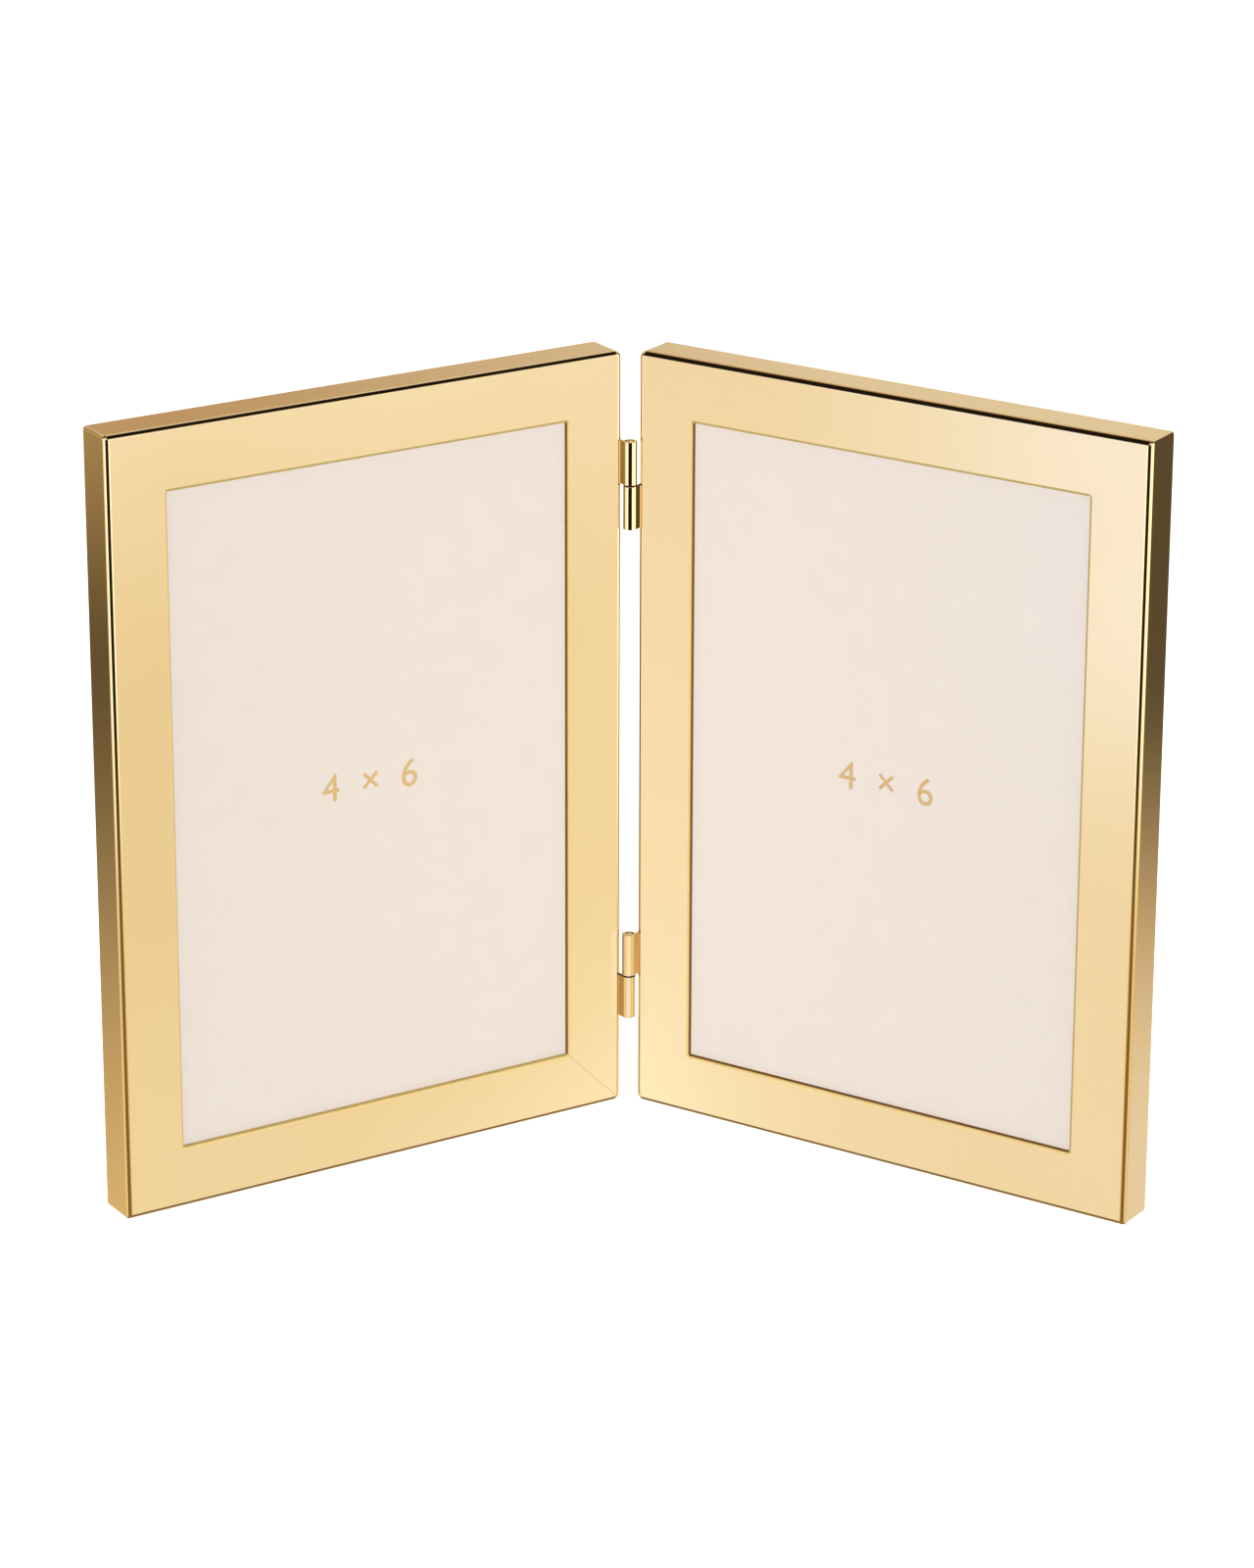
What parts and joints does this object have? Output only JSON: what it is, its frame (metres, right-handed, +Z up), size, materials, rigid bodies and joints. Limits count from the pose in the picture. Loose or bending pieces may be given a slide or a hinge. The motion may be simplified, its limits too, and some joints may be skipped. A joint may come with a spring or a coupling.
{
  "type": "double photo frame",
  "caption": "Hinged double photo frame: two mitred gold-plated frames with glazed print openings, joined edge to edge so that they stand like an open book and fold shut face to face.",
  "frame": {"origin": "middle of the bounding box of the frame as it stands half open, on the surface it stands on", "axes": "+X to the viewer's right across both leaves, +Y from the viewer towards the back, +Z up along the hinge pins"},
  "size_m": [0.2274, 0.0766, 0.1778],
  "materials": {
    "gold_plate": "gold plate on brass, polished to a mirror",
    "brass_hardware": "satin brass, stamped and turned",
    "glass": "clear picture glass",
    "insert_card": "uncoated cream card",
    "filler_card": "grey board",
    "fibreboard": "fine fibreboard",
    "suede": "brushed suede cloth"
  },
  "bodies": {
    "left_leaf": {"left_top_rail": "gold_plate", "left_bottom_rail": "gold_plate", "left_hinge_stile": "gold_plate", "left_outer_stile": "gold_plate", "left_glass": "glass", "left_photo_card": "insert_card", "left_filler_card": "filler_card", "left_back_board": "fibreboard", "left_board_suede": "suede", "left_carcass": "fibreboard", "left_carcass_suede": "suede", "left_outer_lower_screw": "brass_hardware", "left_outer_upper_screw": "brass_hardware", "left_hinge_lower_screw": "brass_hardware", "left_hinge_upper_screw": "brass_hardware", "upper_hinge_left_half": "gold_plate", "upper_hinge_pin": "brass_hardware", "lower_hinge_left_half": "gold_plate", "lower_hinge_pin": "brass_hardware"},
    "right_leaf": {"right_top_rail": "gold_plate", "right_bottom_rail": "gold_plate", "right_hinge_stile": "gold_plate", "right_outer_stile": "gold_plate", "right_glass": "glass", "right_photo_card": "insert_card", "right_filler_card": "filler_card", "right_back_board": "fibreboard", "right_board_suede": "suede", "right_carcass": "fibreboard", "right_carcass_suede": "suede", "right_outer_lower_screw": "brass_hardware", "right_outer_upper_screw": "brass_hardware", "right_hinge_lower_screw": "brass_hardware", "right_hinge_upper_screw": "brass_hardware", "upper_hinge_right_half": "gold_plate", "lower_hinge_right_half": "gold_plate"},
    "left_outer_lower_button": {"left_outer_lower_turn_button": "brass_hardware"},
    "left_outer_upper_button": {"left_outer_upper_turn_button": "brass_hardware"},
    "left_hinge_lower_button": {"left_hinge_lower_turn_button": "brass_hardware"},
    "left_hinge_upper_button": {"left_hinge_upper_turn_button": "brass_hardware"},
    "right_outer_lower_button": {"right_outer_lower_turn_button": "brass_hardware"},
    "right_outer_upper_button": {"right_outer_upper_turn_button": "brass_hardware"},
    "right_hinge_lower_button": {"right_hinge_lower_turn_button": "brass_hardware"},
    "right_hinge_upper_button": {"right_hinge_upper_turn_button": "brass_hardware"}
  },
  "joints": [
    {"name": "fold", "type": "hinge", "parent": "left_leaf", "child": "right_leaf", "pos_m": [0, 0.03033, 0], "axis": [0, 0, 1], "range_deg": [-114.4, 65.6]},
    {"name": "left_outer_lower_turn", "type": "hinge", "parent": "left_leaf", "child": "left_outer_lower_button", "pos_m": [-0.10769, -0.02753, 0.0439], "axis": [-0.5417, 0.8406, 0], "range_deg": [-110, 110]},
    {"name": "left_outer_upper_turn", "type": "hinge", "parent": "left_leaf", "child": "left_outer_upper_button", "pos_m": [-0.10769, -0.02753, 0.1339], "axis": [-0.5417, 0.8406, 0], "range_deg": [-110, 110]},
    {"name": "left_hinge_lower_turn", "type": "hinge", "parent": "left_leaf", "child": "left_hinge_lower_button", "pos_m": [-0.01228, 0.03395, 0.0439], "axis": [-0.5417, 0.8406, 0], "range_deg": [-110, 110]},
    {"name": "left_hinge_upper_turn", "type": "hinge", "parent": "left_leaf", "child": "left_hinge_upper_button", "pos_m": [-0.01228, 0.03395, 0.1339], "axis": [-0.5417, 0.8406, 0], "range_deg": [-110, 110]},
    {"name": "right_outer_lower_turn", "type": "hinge", "parent": "right_leaf", "child": "right_outer_lower_button", "pos_m": [0.10769, -0.02753, 0.0439], "axis": [0.5417, 0.8406, 0], "range_deg": [-110, 110]},
    {"name": "right_outer_upper_turn", "type": "hinge", "parent": "right_leaf", "child": "right_outer_upper_button", "pos_m": [0.10769, -0.02753, 0.1339], "axis": [0.5417, 0.8406, 0], "range_deg": [-110, 110]},
    {"name": "right_hinge_lower_turn", "type": "hinge", "parent": "right_leaf", "child": "right_hinge_lower_button", "pos_m": [0.01228, 0.03395, 0.0439], "axis": [0.5417, 0.8406, 0], "range_deg": [-110, 110]},
    {"name": "right_hinge_upper_turn", "type": "hinge", "parent": "right_leaf", "child": "right_hinge_upper_button", "pos_m": [0.01228, 0.03395, 0.1339], "axis": [0.5417, 0.8406, 0], "range_deg": [-110, 110]}
  ]
}
